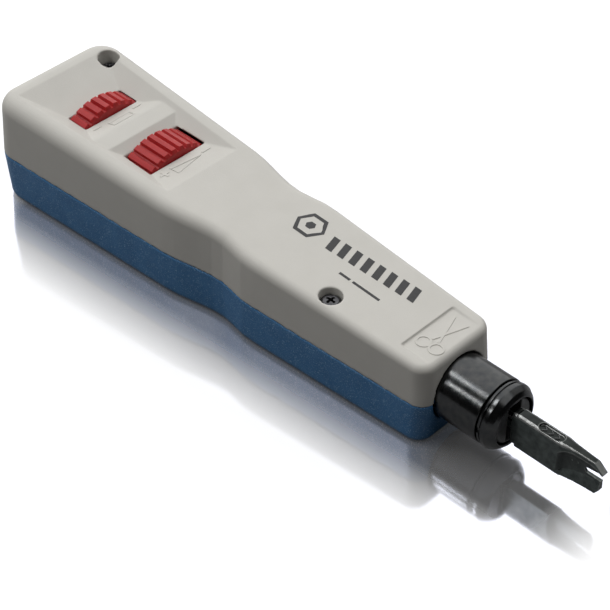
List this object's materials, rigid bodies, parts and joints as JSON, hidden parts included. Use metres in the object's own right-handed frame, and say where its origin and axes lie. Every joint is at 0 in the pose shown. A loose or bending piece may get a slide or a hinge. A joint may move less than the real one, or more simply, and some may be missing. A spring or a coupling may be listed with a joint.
{
  "type": "punch down tool",
  "caption": "Hand tool with a split plastic grip, thumb wheels in a top recess and a sprung black collar that holds a forked blade for seating and trimming network wires.",
  "frame": {"origin": "middle of the tool's length and width, on its underside", "axes": "+X towards the blade tip, +Z out of the face with the thumb wheels"},
  "size_m": [0.1764, 0.0372, 0.0294],
  "materials": {
    "grey_shell": "warm light grey with a fine matte texture",
    "blue_shell": "dark blue with a fine sparkle texture",
    "red_wheel": "red, satin gloss",
    "black_collar": "gloss black",
    "black_socket": "satin black",
    "black_blade": "black oxide, satin",
    "dark_screw": "black plated",
    "bright_steel": "machined",
    "spring_steel": "drawn wire and strip",
    "white_plastic": "matte",
    "black_rubber": "matte"
  },
  "bodies": {
    "root": {"upper_shell": "grey_shell", "lower_shell": "blue_shell", "front_screw": "dark_screw", "rear_screw": "dark_screw", "release_cam": "bright_steel", "hammer_buffer": "black_rubber", "return_spring": "spring_steel", "main_spring": "spring_steel", "wheel_axle": "bright_steel", "axle_clip": "spring_steel", "thrust_plate": "bright_steel", "impact_click_spring": "spring_steel", "storage_click_spring": "spring_steel", "storage_tube": "white_plastic"},
    "plunger": {"plunger_sleeve": "black_collar", "lock_ring": "black_collar", "blade_socket": "black_socket", "plunger_rod": "bright_steel", "cross_pin": "bright_steel", "detent_ball": "bright_steel", "detent_clip": "spring_steel"},
    "blade": {"blade": "black_blade"},
    "hammer": {"hammer": "bright_steel", "sear_spring": "spring_steel"},
    "sear": {"sear": "bright_steel"},
    "spring_seat": {"spring_seat": "white_plastic"},
    "impact_wheel": {"impact_wheel": "red_wheel"},
    "storage_wheel": {"storage_wheel": "red_wheel"},
    "spare_blade": {"spare_blade": "black_blade"}
  },
  "joints": [
    {"name": "plunger_press", "type": "slide", "parent": "root", "child": "plunger", "axis": [-1, 0, 0], "range_m": [0, 0.01], "stiffness_N_per_m": 800, "deforming": ["return_spring"]},
    {"name": "blade_twist", "type": "hinge", "parent": "plunger", "child": "blade", "pos_m": [0.05705, 0, 0.0116], "axis": [1, 0, 0], "range_deg": [0, 90]},
    {"name": "hammer_slide", "type": "slide", "parent": "root", "child": "hammer", "axis": [-1, 0, 0], "range_m": [0, 0.01], "deforming": ["main_spring"]},
    {"name": "sear_shift", "type": "slide", "parent": "hammer", "child": "sear", "axis": [0, 0, 1], "range_m": [0, 0.0015], "deforming": ["sear_spring"]},
    {"name": "impact_wheel_turn", "type": "hinge", "parent": "root", "child": "impact_wheel", "pos_m": [-0.04505, 0, 0.015], "axis": [1, 0, 0], "range_deg": [-25, 25]},
    {"name": "spring_seat_slide", "type": "slide", "parent": "root", "child": "spring_seat", "axis": [1, 0, 0], "range_m": [-0.00151, 0.00151], "deforming": ["main_spring"]},
    {"name": "storage_wheel_turn", "type": "hinge", "parent": "root", "child": "storage_wheel", "pos_m": [-0.0671, 0, 0.015], "axis": [1, 0, 0], "range_deg": [0, 90]},
    {"name": "spare_blade_slide", "type": "slide", "parent": "root", "child": "spare_blade", "axis": [-1, 0, 0], "range_m": [0, 0.03]}
  ],
  "couplings": [
    {"joint": "hammer_slide", "follows": "plunger_press", "ratio": 1},
    {"joint": "sear_shift", "follows": "plunger_press", "ratio": 0.15},
    {"joint": "spring_seat_slide", "follows": "impact_wheel_turn", "m_per_rad": 0.0034377}
  ]
}
